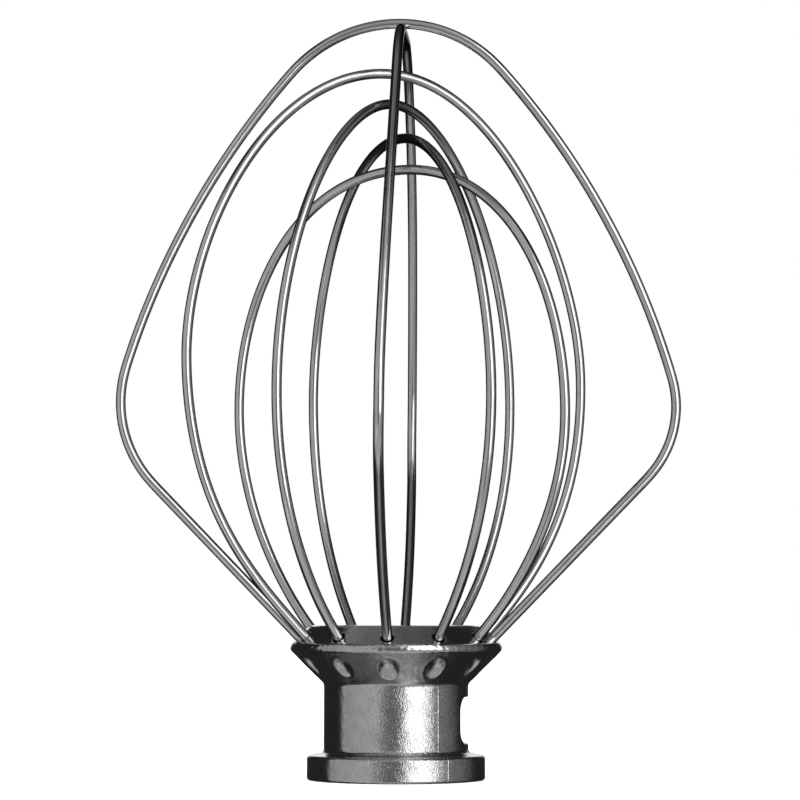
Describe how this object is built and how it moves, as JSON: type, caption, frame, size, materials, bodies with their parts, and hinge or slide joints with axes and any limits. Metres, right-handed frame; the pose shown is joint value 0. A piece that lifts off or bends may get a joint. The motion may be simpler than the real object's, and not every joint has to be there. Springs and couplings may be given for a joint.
{
  "type": "mixer wire whip",
  "caption": "Pear-shaped wire whip for a planetary stand mixer: bent wire loops crossing at the crown, staked into a cast hub with a bayonet drive socket.",
  "frame": {"origin": "centre of the hub's flange end face, on the drive socket's axis", "axes": "+Z along the hub's axis from the flange end face to the crown of the wires; -Y faces the front, with the side window of the drive socket towards +X"},
  "size_m": [0.1364, 0.1361, 0.184],
  "materials": {
    "hub": "polished cast aluminium, slightly grainy on the neck and flange, finer turned cones",
    "outer_wires": "drawn stainless steel wire, bright",
    "inner_wires": "drawn stainless steel wire, bright"
  },
  "bodies": {
    "root": {"hub": "hub", "outer_wire_top": "outer_wires", "outer_wire_under": "outer_wires", "inner_wire_1": "inner_wires", "inner_wire_2": "inner_wires", "inner_wire_3": "inner_wires", "inner_wire_4": "inner_wires"}
  },
  "joints": []
}
